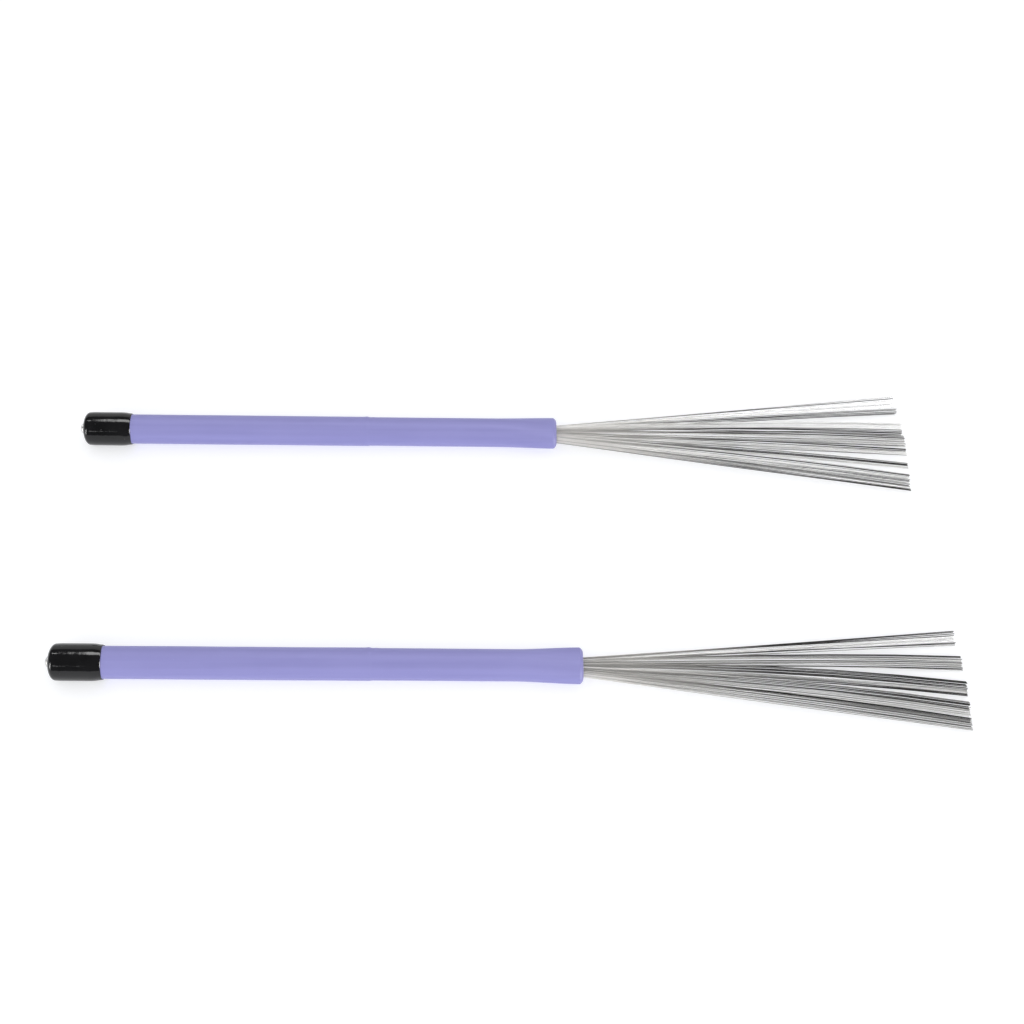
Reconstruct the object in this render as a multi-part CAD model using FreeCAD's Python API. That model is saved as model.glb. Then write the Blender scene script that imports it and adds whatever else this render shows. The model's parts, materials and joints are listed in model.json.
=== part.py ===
"""A pair of retractable wire drum brushes, lying side by side on a table.

Each brush is a rubber-covered aluminium tube. A steel rod slides in it and carries
a fan of fine steel wires. Pulling the rod's domed end out of the butt draws the wires
into the tube, where they are safe in a stick bag.

Axes: +X towards the wire tips, +Y from the front brush to the back brush, +Z up.
Origin: the middle of the pair's bounding box, on the table.
All sizes are in millimetres.
"""
import FreeCAD
import Part

import math
import os
import random

from FreeCAD import Vector

# ---- Handle: one tube, its grip and its cap ----
HANDLE_LENGTH = 196.3        # butt of the cap to the mouth of the grip
TUBE_RADIUS = 4.75           # outside of the aluminium tube
TUBE_WALL = 0.6
GRIP_WALL = 1.2              # rubber over the front of the tube
GRIP_STEP = 0.15             # extra thickness of the rear part of the grip
GRIP_STEP_AT = 117.5         # from the butt to where the grip thins
GRIP_STEP_LENGTH = 4.0
GRIP_LIP = 0.8               # rubber standing past the end of the tube
GRIP_END_ROUND = 0.9
CAP_LENGTH = 20.2
CAP_WALL = 0.85
CAP_END_WALL = 2.2
CAP_BUTT_ROUND = 2.6
CAP_RIM_ROUND = 0.6
CAP_HOLE_CLEARANCE = 0.10

# ---- Mouth: the tube is pressed flat here, so that the wires spread sideways ----
MOUTH_LENGTH = 26.0
MOUTH_ROOM_ABOVE = 0.62      # between the highest or lowest wire and the tube
MOUTH_ROOM_ASIDE = 0.1       # between the outermost wires and the tube

# ---- Guide at the butt ----
BUSH_START = 3.4             # from the butt to the bush
BUSH_LENGTH = 9.2
BUSH_CLEARANCE = 0.04        # round the rod
BUMPER_LENGTH = 2.5
BUMPER_CLEARANCE = 0.25
SEAL_LENGTH = 2.0            # the rubber ring that grips the rod
SEAL_DEPTH = 1.35

# ---- Sliding rod ----
ROD_RADIUS = 1.5
BUTTON_RADIUS = 2.25
BUTTON_STANDS_OUT = 1.2      # dome outside the cap
BUTTON_GAP = 0.1             # between the button and the bush at full reach
BUTTON_SOCKET = 2.3
FERRULE_LENGTH = 12.0
FERRULE_WALL = 0.8
FERRULE_SETBACK = 22.0       # from the mouth to the front of the ferrule
FERRULE_ROD_DEPTH = 5.0
CRIMP_DEPTH = 0.25
CRIMP_WIDTH = 0.9
GUIDE_LENGTH = 5.0
GUIDE_CLEARANCE = 0.07       # between the guide and the tube

# ---- Wires ----
WIRE_RADIUS = 0.165
WIRE_SPACING = 0.05          # between neighbours in the ferrule
WIRE_ROOT = 5.0              # length held in the ferrule
WIRE_BEND_RADIUS = 20.0
BUNDLE_CLEARANCE = 0.15
TIP_HEIGHT = 1.7             # of the middle of the fan, above the table
FAN_THICKNESS = 2.4          # at the tips
TIP_TRIM = 0.8               # how unevenly the tips are cut
TIP_SCATTER = 0.15           # how unevenly they are spaced, as a share of their spacing

# ---- The two brushes: where the butt lies, how far the brush is turned, how long
# its wires stand out of the ferrule, where the fan starts, and each tuft's
# width at the tips, the gap after it and its number of wires, from +Y to -Y ----
BRUSHES = {
    "front": {
        "butt": (0.0, 0.0),
        "turn": 0.0,
        "wire_length": 163.4,
        "fan_edge": 19.2,
        "tufts": [(7.0, 4.5, 11), (6.6, 4.4, 16), (6.5, 1.9, 16), (6.5, 0.3, 16), (6.4, 0.0, 16)],
    },
    "back": {
        "butt": (-8.0, 115.5),
        "turn": -0.17,
        "wire_length": 168.0,
        "fan_edge": 26.2,
        "tufts": [
            (5.3, 0.5, 6), (5.2, 4.9, 7), (6.5, 0.5, 13), (6.5, 1.2, 13),
            (3.8, 3.9, 9), (3.2, 2.8, 8), (4.3, 0.4, 9), (4.3, 0.0, 10),
        ],
    },
}

# ---- Sizes that follow from the ones above ----
X_AXIS = Vector(1, 0, 0)
TUBE_BORE = TUBE_RADIUS - TUBE_WALL
TUBE_START = CAP_END_WALL
TUBE_END = HANDLE_LENGTH - GRIP_LIP
MOUTH_START = HANDLE_LENGTH - MOUTH_LENGTH
GRIP_RADIUS = TUBE_RADIUS + GRIP_WALL
GRIP_REAR_RADIUS = GRIP_RADIUS + GRIP_STEP
CAP_RADIUS = GRIP_REAR_RADIUS + CAP_WALL
BUSH_END = BUSH_START + BUSH_LENGTH
BUMPER_END = BUSH_END + BUMPER_LENGTH
BUTTON_END = BUSH_START - BUTTON_GAP
FERRULE_END = HANDLE_LENGTH - FERRULE_SETBACK
FERRULE_START = FERRULE_END - FERRULE_LENGTH
GUIDE_END = FERRULE_START + GUIDE_LENGTH
WIRE_PITCH = 2 * WIRE_RADIUS + WIRE_SPACING

# The brush rests on the rim of its cap and on the grip just behind the mouth.
CAP_REST = CAP_LENGTH - CAP_RIM_ROUND
PITCH = math.atan2(CAP_RADIUS - GRIP_RADIUS, MOUTH_START - CAP_REST)
BUTT_HEIGHT = CAP_REST * math.sin(PITCH) + CAP_RADIUS * math.cos(PITCH)


def turned(points):
    """A solid turned about the X axis from an outline of (x, radius) points."""
    corners = [Vector(x, 0, radius) for x, radius in points]
    outline = Part.makePolygon(corners + corners[:1])
    return Part.Face(outline).revolve(Vector(), X_AXIS, 360)


def ring(start, end, outer, inner):
    """A plain ring about the X axis."""
    return turned([(start, inner), (end, inner), (end, outer), (start, outer)])


def rim(solid, x, radius):
    """The circular edges of a solid at one place along the X axis."""
    found = []
    for edge in solid.Edges:
        curve = edge.Curve
        if curve.TypeId == "Part::GeomCircle" and abs(curve.Radius - radius) < 1e-4:
            if abs(curve.Center.x - x) < 1e-4:
                found.append(edge)
    return found


def oval(x, half_width, half_height):
    """An oval section across the X axis, wider than it is high."""
    side = Vector(x, half_width, 0)
    top = Vector(x, 0, half_height)
    return Part.Wire(Part.Ellipse(side, top, Vector(x, 0, 0)).toShape())


def mouth_opening():
    """Half width and half height of the tube's mouth, which every wire clears."""
    crossings = []
    for brush in BRUSHES.values():
        for ends in wire_ends(brush):
            for bend, tip in ends:
                share = (HANDLE_LENGTH - bend.x) / (tip.x - bend.x)
                crossing = bend + (tip - bend) * share
                crossings.append((abs(crossing.y) + WIRE_RADIUS, abs(crossing.z) + WIRE_RADIUS))
    half_height = max(z for y, z in crossings) + MOUTH_ROOM_ABOVE
    half_width = 0
    for y, z in crossings:
        height_share = (z + MOUTH_ROOM_ASIDE) / half_height
        half_width = max(half_width, (y + MOUTH_ROOM_ASIDE) / math.sqrt(1 - height_share**2))
    return half_width, half_height


def tube_form(start, end, growth):
    """The tube's outside, grown by a wall: round, then pressed flat towards the mouth."""
    radius = TUBE_RADIUS + growth
    half_width, half_height = mouth_opening()
    spread = half_width - TUBE_BORE
    press = TUBE_BORE - half_height
    barrel = Part.makeCylinder(radius, MOUTH_START - start, Vector(start, 0, 0), X_AXIS)
    sections = []
    for share in (0.0, 0.25, 0.5, 0.75, 1.0):
        ease = share * share * (3 - 2 * share)
        x = MOUTH_START + share * MOUTH_LENGTH
        sections.append(oval(x, radius + spread * ease, radius - press * ease))
    mouth = Part.makeLoft(sections, True, False)
    form = barrel.fuse(mouth)
    if end < HANDLE_LENGTH:
        side = 4 * radius
        beyond = Part.makeBox(side, side, side, Vector(end, -side / 2, -side / 2))
        form = form.cut(beyond)
    return form.removeSplitter()


# ---- Handle pieces ----
def handle_tube():
    """Aluminium tube with a flattened mouth."""
    outside = tube_form(TUBE_START, TUBE_END, 0)
    bore = tube_form(TUBE_START - 1, HANDLE_LENGTH, -TUBE_WALL)
    return outside.cut(bore)


def grip():
    """Rubber sleeve over the whole tube, a little thicker at the rear."""
    outside = tube_form(TUBE_START, HANDLE_LENGTH, GRIP_WALL)
    mouth_edges = [edge for edge in outside.Edges if edge.BoundBox.XMin > HANDLE_LENGTH - 0.01]
    outside = outside.makeFillet(GRIP_END_ROUND, mouth_edges)
    step_end = GRIP_STEP_AT + GRIP_STEP_LENGTH
    sleeve = turned([
        (TUBE_START, 0), (step_end, 0), (step_end, GRIP_RADIUS),
        (GRIP_STEP_AT, GRIP_REAR_RADIUS), (TUBE_START, GRIP_REAR_RADIUS),
    ])
    outside = outside.fuse(sleeve).removeSplitter()
    tube = tube_form(TUBE_START - 1, TUBE_END, 0)
    mouth = tube_form(MOUTH_START - 1, HANDLE_LENGTH, -TUBE_WALL)
    return outside.cut(tube).cut(mouth)


def butt_cap():
    """Vinyl cap pushed over the rear of the grip, with a hole for the rod's button."""
    cap = turned([
        (0, 0), (CAP_LENGTH, 0), (CAP_LENGTH, CAP_RADIUS), (0, CAP_RADIUS),
    ])
    cap = cap.makeFillet(CAP_BUTT_ROUND, rim(cap, 0, CAP_RADIUS))
    cap = cap.makeFillet(CAP_RIM_ROUND, rim(cap, CAP_LENGTH, CAP_RADIUS))
    pocket = ring(CAP_END_WALL, CAP_LENGTH + 1, GRIP_REAR_RADIUS, 0)
    hole = ring(-1, CAP_LENGTH, BUTTON_RADIUS + CAP_HOLE_CLEARANCE, 0)
    return cap.cut(pocket).cut(hole)


def seal_span():
    """Start and end of the rubber ring, in the middle of the bush."""
    middle = (BUSH_START + BUSH_END) / 2
    return middle - SEAL_LENGTH / 2, middle + SEAL_LENGTH / 2


def rod_bush():
    """Nylon bush pressed into the rear of the tube, which guides the rod."""
    bore = ROD_RADIUS + BUSH_CLEARANCE
    start, end = seal_span()
    bush = ring(BUSH_START, BUSH_END, TUBE_BORE, bore)
    return bush.cut(ring(start, end, bore + SEAL_DEPTH, 0))


def rod_seal():
    """Rubber ring in the bush, whose drag keeps the wires where they are set."""
    start, end = seal_span()
    bore = ROD_RADIUS + BUSH_CLEARANCE
    return ring(start, end, bore + SEAL_DEPTH, bore)


def bumper():
    """Rubber washer that stops the ferrule when the wires are fully in."""
    return ring(BUSH_END, BUMPER_END, TUBE_BORE, ROD_RADIUS + BUMPER_CLEARANCE)


# ---- Sliding pieces ----
def pull_rod():
    """Steel rod from the button to the ferrule."""
    start = BUTTON_END - BUTTON_SOCKET
    end = FERRULE_START + FERRULE_ROD_DEPTH
    return Part.makeCylinder(ROD_RADIUS, end - start, Vector(start, 0, 0), X_AXIS)


def end_button():
    """Domed button pressed on the rear of the rod."""
    centre = BUTTON_RADIUS - BUTTON_STANDS_OUT
    dome = Part.makeSphere(BUTTON_RADIUS, Vector(centre, 0, 0))
    shank = Part.makeCylinder(BUTTON_RADIUS, BUTTON_END - centre, Vector(centre, 0, 0), X_AXIS)
    beyond = ring(BUTTON_END, BUTTON_END + 2 * BUTTON_RADIUS, 2 * BUTTON_RADIUS, 0)
    button = dome.fuse(shank).cut(beyond).removeSplitter()
    return button.cut(pull_rod())


def bundle_radius():
    """Radius of the bundle of wires in the ferrule."""
    most = max(sum(tuft[2] for tuft in brush["tufts"]) for brush in BRUSHES.values())
    farthest = max(math.hypot(y, z) for y, z in bundle_places(most))
    return farthest + WIRE_RADIUS


def ferrule():
    """Brass sleeve crimped over the front of the rod and the roots of the wires."""
    bore = bundle_radius() + BUNDLE_CLEARANCE
    body = turned([
        (FERRULE_START, ROD_RADIUS), (FERRULE_START + FERRULE_ROD_DEPTH, ROD_RADIUS),
        (FERRULE_START + FERRULE_ROD_DEPTH, bore), (FERRULE_END, bore),
        (FERRULE_END, bore + FERRULE_WALL), (FERRULE_START, bore + FERRULE_WALL),
    ])
    outer = bore + FERRULE_WALL
    for place in (FERRULE_END - 2 * CRIMP_WIDTH, FERRULE_END - 5 * CRIMP_WIDTH):
        body = body.cut(ring(place - CRIMP_WIDTH, place, outer + 1, outer - CRIMP_DEPTH))
    return body


def guide():
    """Nylon ring on the ferrule, which keeps it in the middle of the tube."""
    inner = bundle_radius() + BUNDLE_CLEARANCE + FERRULE_WALL
    return ring(FERRULE_START, GUIDE_END, TUBE_BORE - GUIDE_CLEARANCE, inner)


# ---- Wires ----
def bundle_places(count):
    """Places (y, z) of wires packed like a honeycomb, from the +Y side to the -Y side."""
    reach = int(math.sqrt(count)) + 1
    places = []
    for column in range(-reach, reach + 1):
        for row in range(-reach, reach + 1):
            y = column * WIRE_PITCH * math.sqrt(0.75)
            z = (row + (column % 2) / 2) * WIRE_PITCH
            places.append((y, z))
    places.sort(key=lambda place: (round(math.hypot(*place), 6), place))
    return sorted(places[:count], key=lambda place: (-round(place[0], 6), place[1]))


def axis_height(x):
    """Height of the brush's axis above the table, at a distance from the butt."""
    return BUTT_HEIGHT - x * math.sin(PITCH)


def wire_ends(brush):
    """For each tuft, a list of (bend, tip) points, in the brush's own axes."""
    chance = random.Random(brush["fan_edge"])
    count = sum(tuft[2] for tuft in brush["tufts"])
    places = bundle_places(count)
    radius = bundle_radius()
    edge = brush["fan_edge"]
    tufts = []
    for width, gap, wires in brush["tufts"]:
        step = width / wires
        ends = []
        for number in range(wires):
            y, z = places.pop(0)
            tip_y = edge - (number + 0.5 + chance.uniform(-TIP_SCATTER, TIP_SCATTER)) * step
            reach = brush["wire_length"] - chance.uniform(0, TIP_TRIM)
            far_x = FERRULE_END + reach
            tip_z = TIP_HEIGHT - axis_height(far_x) + z / radius * FAN_THICKNESS / 2
            across = math.hypot(tip_y - y, tip_z - z)
            tip_x = FERRULE_END + math.sqrt(reach**2 - across**2)
            ends.append((Vector(FERRULE_END, y, z), Vector(tip_x, tip_y, tip_z)))
        tufts.append(ends)
        edge -= width + gap
    return tufts


def wire(bend, tip):
    """One wire: a straight root in the ferrule, a gentle bend and a straight run to its tip."""
    run = (tip - bend).normalize()
    angle = X_AXIS.getAngle(run)
    setback = WIRE_BEND_RADIUS * math.tan(angle / 2)
    sagitta = math.hypot(WIRE_BEND_RADIUS, setback) - WIRE_BEND_RADIUS
    root = bend - X_AXIS * WIRE_ROOT
    arc_start = bend - X_AXIS * setback
    arc_middle = bend + (run - X_AXIS).normalize() * sagitta
    arc_end = bend + run * setback
    path = Part.Wire([
        Part.makeLine(root, arc_start),
        Part.Arc(arc_start, arc_middle, arc_end).toShape(),
        Part.makeLine(arc_end, tip),
    ])
    section = Part.Wire(Part.makeCircle(WIRE_RADIUS, root, X_AXIS))
    return path.makePipeShell([section], True, False)


def tuft(ends):
    """The wires of one tuft, each a separate solid."""
    return Part.makeCompound([wire(bend, tip) for bend, tip in ends])


# ---- Assembly ----
def brush_pieces(brush):
    """Every piece of one brush, in its own axes: X along the handle, the butt at zero."""
    pieces = {
        "handle_tube": handle_tube(),
        "grip": grip(),
        "butt_cap": butt_cap(),
        "rod_bush": rod_bush(),
        "rod_seal": rod_seal(),
        "bumper": bumper(),
        "pull_rod": pull_rod(),
        "end_button": end_button(),
        "ferrule": ferrule(),
        "guide": guide(),
    }
    for number, ends in enumerate(wire_ends(brush), start=1):
        pieces[f"tuft_{number}"] = tuft(ends)
    return pieces


def lying(brush):
    """The placement that lays a brush on the table."""
    x, y = brush["butt"]
    turn = FreeCAD.Rotation(Vector(0, 0, 1), brush["turn"])
    tilt = FreeCAD.Rotation(Vector(0, 1, 0), math.degrees(PITCH))
    return FreeCAD.Placement(Vector(x, y, BUTT_HEIGHT), turn.multiply(tilt))


def build():
    """All nodes by name, and the placement of each brush in the finished part."""
    nodes = {}
    places = {}
    bounds = FreeCAD.BoundBox()
    for side, brush in BRUSHES.items():
        places[side] = lying(brush)
        for piece, shape in brush_pieces(brush).items():
            node = shape.copy()
            node.Placement = places[side]
            nodes[f"{side}_{piece}"] = node
            bounds.add(node.optimalBoundingBox(False, False))
    centre = Vector(-bounds.Center.x, -bounds.Center.y, -bounds.ZMin)
    for node in nodes.values():
        node.translate(centre)
    for place in places.values():
        place.Base = place.Base + centre
    return nodes, places


def main():
    os.makedirs("parts", exist_ok=True)
    nodes, places = build()
    for name, shape in nodes.items():
        shape.exportStep(f"parts/{name}.step")
        print(f"{name:20s} solids {len(shape.Solids):3d}  volume {shape.Volume:9.2f} mm3  valid {shape.isValid()}")
    for side, place in places.items():
        print(side, "butt at", place.Base)


main()
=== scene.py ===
# %% [markdown]
# # A pair of retractable wire drum brushes
#
# Two brushes lie on a pale table. Each has a rubber-covered tube for a handle, a glossy
# cap on its butt, a small domed button in the cap, and a flat fan of springy steel wires.
# The design already exists as a CAD model, and this lesson gives it its looks. We load
# the design first, because every size and place below is read from it.

# %% Load the design as a fixed frame
import json
import math
import random

import bmesh
import bpy
from mathutils import Matrix, Vector, noise


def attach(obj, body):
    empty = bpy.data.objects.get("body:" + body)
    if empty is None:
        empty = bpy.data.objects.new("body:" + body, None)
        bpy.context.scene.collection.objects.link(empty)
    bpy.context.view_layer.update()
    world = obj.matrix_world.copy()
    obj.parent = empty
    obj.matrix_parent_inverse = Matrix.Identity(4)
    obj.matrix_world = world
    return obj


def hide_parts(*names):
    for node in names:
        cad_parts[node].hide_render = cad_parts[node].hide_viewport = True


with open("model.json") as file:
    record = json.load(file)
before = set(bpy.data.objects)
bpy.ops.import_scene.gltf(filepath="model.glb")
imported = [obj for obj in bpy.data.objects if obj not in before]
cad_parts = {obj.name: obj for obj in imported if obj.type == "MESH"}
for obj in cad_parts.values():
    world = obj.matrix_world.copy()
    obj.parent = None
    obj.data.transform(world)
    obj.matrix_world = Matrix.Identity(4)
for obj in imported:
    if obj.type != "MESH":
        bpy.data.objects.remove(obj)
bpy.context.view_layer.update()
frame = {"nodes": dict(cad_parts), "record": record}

MM = 0.001
SIDES = ("front", "back")

# %% [markdown]
# ## Each brush's own axes
#
# The brushes are not quite level: each rests on the rim of its cap and on its grip near
# the mouth, so it leans a fraction of a degree, and the back one is also turned a little.
# It is far easier to shape a piece straight, along X from the butt, and to lay it down
# at the end. The butt mount in the record says where each cap is and which way it points,
# and that is enough to work out a matrix from the brush's own axes to the table.

# %% Work out the axes and read sizes in them
def brush_axes(side):
    """From a brush's own axes (X along the handle from the butt, Z up) to the table."""
    mounts = {mount["name"]: mount for mount in frame["record"]["mounts"]}
    cap = mounts[f"{side}_butt"]
    along = -Vector(cap["axis"]).normalized()
    across = Vector((0, 0, 1)).cross(along).normalized()
    up = along.cross(across)
    middle = Vector(cap["pos_m"])
    cap_points = frame["nodes"][f"{side}_butt_cap"].data.vertices
    to_butt = min((point.co - middle).dot(along) for point in cap_points)
    turn = Matrix((along, across, up)).transposed().to_4x4()
    return Matrix.Translation(middle + along * to_butt) @ turn


AXES = {side: brush_axes(side) for side in SIDES}


def own_points(node, side):
    """A CAD node's points in its brush's own axes."""
    to_own = AXES[side].inverted()
    return [to_own @ vertex.co for vertex in frame["nodes"][node].data.vertices]


def span(piece, side="front"):
    """Where a CAD piece starts and ends along its brush, and its largest radius."""
    points = own_points(f"{side}_{piece}", side)
    radius = max(math.hypot(point.y, point.z) for point in points)
    return min(p.x for p in points), max(p.x for p in points), radius


_, cap_end, cap_radius = span("butt_cap")
grip_start, mouth, mouth_half_width = span("grip")
_, tube_end, _ = span("handle_tube")
_, ferrule_end, _ = span("ferrule")
print(f"cap to {cap_end:.4f} m, mouth at {mouth:.4f} m, wires held at {ferrule_end:.4f} m")

# %% [markdown]
# ## The camera
#
# The brushes are seen from above and in front, with a moderate lens, so that the back
# brush looks smaller than the front one. The camera is set by the point that it aims at,
# its distance, how far it looks down, and a slight roll.

# %% Set up the camera
CAMERA_AIM = Vector((0.0058, 0.0196, 0.0))
CAMERA_DISTANCE = 0.6047
CAMERA_DOWN = math.radians(50.93)
CAMERA_ROLL = math.radians(0.203)
CAMERA_LENS = 52.73


def make_camera():
    """A camera looking along +Y and down at the table."""
    data = bpy.data.cameras.new("camera")
    data.lens = CAMERA_LENS
    data.sensor_width = 36
    camera = bpy.data.objects.new("camera", data)
    bpy.context.scene.collection.objects.link(camera)
    back = Vector((0, -math.cos(CAMERA_DOWN), math.sin(CAMERA_DOWN)))
    tilt = Matrix.Rotation(math.pi / 2 - CAMERA_DOWN, 4, "X")
    roll = Matrix.Rotation(CAMERA_ROLL, 4, "Z")
    camera.matrix_world = Matrix.Translation(CAMERA_AIM + back * CAMERA_DISTANCE) @ tilt @ roll
    bpy.context.scene.camera = camera
    return camera


camera = make_camera()
print("camera at", tuple(round(value, 3) for value in camera.matrix_world.translation))

# %% [markdown]
# ## Light and table
#
# The pair is lit like a catalogue picture. A bright, even room gives soft light from
# everywhere, and the table glows a little, as a backlit acrylic sheet does, so shadows
# are nearly gone. Glossy black vinyl mirrors the room around it, and here that is
# a dark ceiling with a few pale panels: a long softbox above and behind the brushes, a
# small panel at its left end, a white wall at the back, a bright panel low on each side
# for the glints on the caps' ends and rims, and a faint one at the front. Most of them
# add only to the reflections, so that the even light stays even.
#
# The softbox is four layers of cloth of different lengths, so the streak that it draws
# along a cap fades in from the left. The layers hang 2 cm apart in height, because two
# lights in one plane would hide each other.

# %% Build the lights
def panel(name, place, aim, width, height, radiance, in_gloss_only=True):
    """A rectangular area light at a place, facing a point, as bright as asked."""
    data = bpy.data.lights.new(name, "AREA")
    data.shape = "RECTANGLE"
    data.size = width
    data.size_y = height
    data.energy = math.pi * width * height * radiance
    lamp = bpy.data.objects.new(name, data)
    bpy.context.scene.collection.objects.link(lamp)
    facing = (Vector(aim) - Vector(place)).to_track_quat("-Z", "Y")
    lamp.matrix_world = Matrix.Translation(Vector(place)) @ facing.to_matrix().to_4x4()
    lamp.visible_camera = False
    lamp.visible_diffuse = not in_gloss_only
    lamp.visible_glossy = in_gloss_only
    return lamp


SOFTBOX_RIGHT_END = 0.83
SOFTBOX_BACK = 0.36
SOFTBOX_HEIGHT = 1.0
SOFTBOX_LAYER_GAP = 0.02
# left end, depth and radiance of each layer
SOFTBOX_LAYERS = ((-0.456, 0.26, 2.0), (-0.446, 0.30, 1.8), (-0.439, 0.34, 1.8), (-0.430, 0.40, 2.4))
# place, point aimed at, width, height and radiance
GLOSS_PANELS = {
    "top_left_panel": ((-0.62, 0.36, 1.0), (-0.16, 0.0, 0), 0.08, 0.24, 8.0),
    "white_wall": ((0, 2.2, 0.9), (0, 0, 0.9), 5.0, 1.7, 0.75),
    "left_panel": ((-0.95, -0.64, 0.20), (-0.15, -0.05, 0), 0.34, 0.74, 15.0),
    "right_panel": ((0.95, -0.55, 0.22), (-0.15, -0.05, 0), 0.64, 0.80, 34.0),
    "front_left_panel": ((-0.63, -1.11, 0.66), (-0.16, -0.05, 0), 0.20, 0.10, 3.0),
}
for number, (left_end, depth, radiance) in enumerate(SOFTBOX_LAYERS):
    middle = (left_end + SOFTBOX_RIGHT_END) / 2
    place = (middle, SOFTBOX_BACK, SOFTBOX_HEIGHT + SOFTBOX_LAYER_GAP * number)
    panel(f"long_softbox_{number}", place, (middle, 0.0, 0), SOFTBOX_RIGHT_END - left_end, depth, radiance)
for name, settings in GLOSS_PANELS.items():
    panel(name, *settings)
panel("front_fill", (0.0, -1.0, 0.78), (0, 0, 0), 1.6, 0.6, 1.5, in_gloss_only=False)

# %% [markdown]
# The world is one colour with three strengths: what lights a dull surface, what a glossy
# surface reflects, and what is seen behind the table.

# %% Build the room
ROOM_LIGHT = 0.80
ROOM_IN_GLOSS = 0.09
ROOM_SEEN = 0.95
ROOM_COLOUR = (0.98, 0.985, 1.0, 1)


def make_room():
    """A pale room that looks dim in reflections."""
    room = bpy.data.worlds.new("room")
    room.use_nodes = True
    bpy.context.scene.world = room
    nodes, links = room.node_tree.nodes, room.node_tree.links
    background = nodes["Background"]
    background.inputs["Color"].default_value = ROOM_COLOUR
    ray = nodes.new("ShaderNodeLightPath").outputs
    lighting = nodes.new("ShaderNodeMix")
    links.new(ray["Is Glossy Ray"], lighting.inputs[0])
    lighting.inputs[2].default_value = ROOM_LIGHT
    lighting.inputs[3].default_value = ROOM_IN_GLOSS
    strength = nodes.new("ShaderNodeMix")
    links.new(ray["Is Camera Ray"], strength.inputs[0])
    links.new(lighting.outputs[0], strength.inputs[2])
    strength.inputs[3].default_value = ROOM_SEEN
    links.new(strength.outputs[0], background.inputs["Strength"])
    bpy.context.scene.view_settings.view_transform = "Standard"


make_room()
print("room light", ROOM_LIGHT, "in gloss", ROOM_IN_GLOSS, "seen", ROOM_SEEN)

# %% [markdown]
# The table is one large flat sheet, matt enough to mirror nothing. A little glow of its
# own brings it up to white, and leaves only a breath of shadow under the brushes.

# %% Build the table
TABLE_SIZE = 4.0
TABLE_COLOUR = (0.60, 0.606, 0.615, 1)
TABLE_GLOW = 0.54
TABLE_GLOW_COLOUR = (0.985, 0.99, 1.0, 1)


def make_table():
    """A pale glowing sheet under the brushes."""
    bm = bmesh.new()
    bmesh.ops.create_grid(bm, x_segments=1, y_segments=1, size=TABLE_SIZE)
    mesh = bpy.data.meshes.new("table")
    bm.to_mesh(mesh)
    bm.free()
    table = bpy.data.objects.new("table", mesh)
    bpy.context.scene.collection.objects.link(table)
    material = bpy.data.materials.new("pale table")
    material.use_nodes = True
    shader = material.node_tree.nodes["Principled BSDF"]
    shader.inputs["Base Color"].default_value = TABLE_COLOUR
    shader.inputs["Roughness"].default_value = 0.9
    shader.inputs["Specular IOR Level"].default_value = 0.0
    shader.inputs["Emission Color"].default_value = TABLE_GLOW_COLOUR
    shader.inputs["Emission Strength"].default_value = TABLE_GLOW
    mesh.materials.append(material)
    return table


table = make_table()
print("table", TABLE_SIZE, "m half width")

# %% [markdown]
# ## Helpers for materials
#
# A small class places nodes and joins them, so that each finish below reads like
# a recipe. Effects that several finishes share are node groups with named inputs:
# they give out only masks and normals, and each finish keeps its own shader.

# %% A recipe class for node trees
class Recipe:
    """Adds nodes to a tree and joins them."""

    def __init__(self, tree):
        self.tree = tree

    def add(self, kind, settings=None, **inputs):
        """A node of one kind. Inputs are values or the sockets that feed them."""
        node = self.tree.nodes.new(kind)
        for name, value in (settings or {}).items():
            setattr(node, name, value)
        for name, value in inputs.items():
            self.feed(node.inputs[name.replace("_", " ")], value)
        return node

    def effect(self, group, **inputs):
        """One of the shared node groups."""
        return self.add("ShaderNodeGroup", {"node_tree": group}, **inputs)

    def feed(self, socket, value):
        """Joins a socket to another one, or sets it to a plain value."""
        if isinstance(value, bpy.types.NodeSocket):
            self.tree.links.new(value, socket)
        else:
            socket.default_value = value

    def mix(self, share, first, second):
        """A blend of two colours."""
        node = self.tree.nodes.new("ShaderNodeMix")
        node.data_type = "RGBA"
        self.feed(node.inputs[0], share)
        self.feed(node.inputs[6], first)
        self.feed(node.inputs[7], second)
        return node.outputs[2]

    def scale(self, value, low, high, to_low=0.0, to_high=1.0):
        """A value moved from one range to another, and held inside it."""
        node = self.add("ShaderNodeMapRange", Value=value)
        limits = {"From Min": low, "From Max": high, "To Min": to_low, "To Max": to_high}
        for name, number in limits.items():
            node.inputs[name].default_value = number
        return node.outputs["Result"]


def new_material(name):
    """An empty material, its recipe and its shader."""
    material = bpy.data.materials.new(name)
    material.use_nodes = True
    shader = material.node_tree.nodes["Principled BSDF"]
    return material, Recipe(material.node_tree), shader


def new_group(name, inputs, outputs):
    """An empty shader node group with named sockets, and its recipe."""
    group = bpy.data.node_groups.new(name, "ShaderNodeTree")
    for socket_name, kind, value in inputs:
        socket = group.interface.new_socket(socket_name, in_out="INPUT", socket_type=kind)
        if value is not None:
            socket.default_value = value
    for socket_name, kind in outputs:
        group.interface.new_socket(socket_name, in_out="OUTPUT", socket_type=kind)
    recipe = Recipe(group)
    return group, recipe, recipe.add("NodeGroupInput"), recipe.add("NodeGroupOutput")


FINISHES = {}
print("recipes ready")

# %% [markdown]
# ## Shared effects
#
# Nothing that has been handled is perfectly even. **Grain** is a fine bump with a
# broad, faint mottle: rubber, nylon and cast parts all have some. **Drawn lines** are
# long faint scratches along the brush, which drawing through a die leaves on tube,
# rod and wire. **Dust** is a scatter of tiny pale specks.

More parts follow.
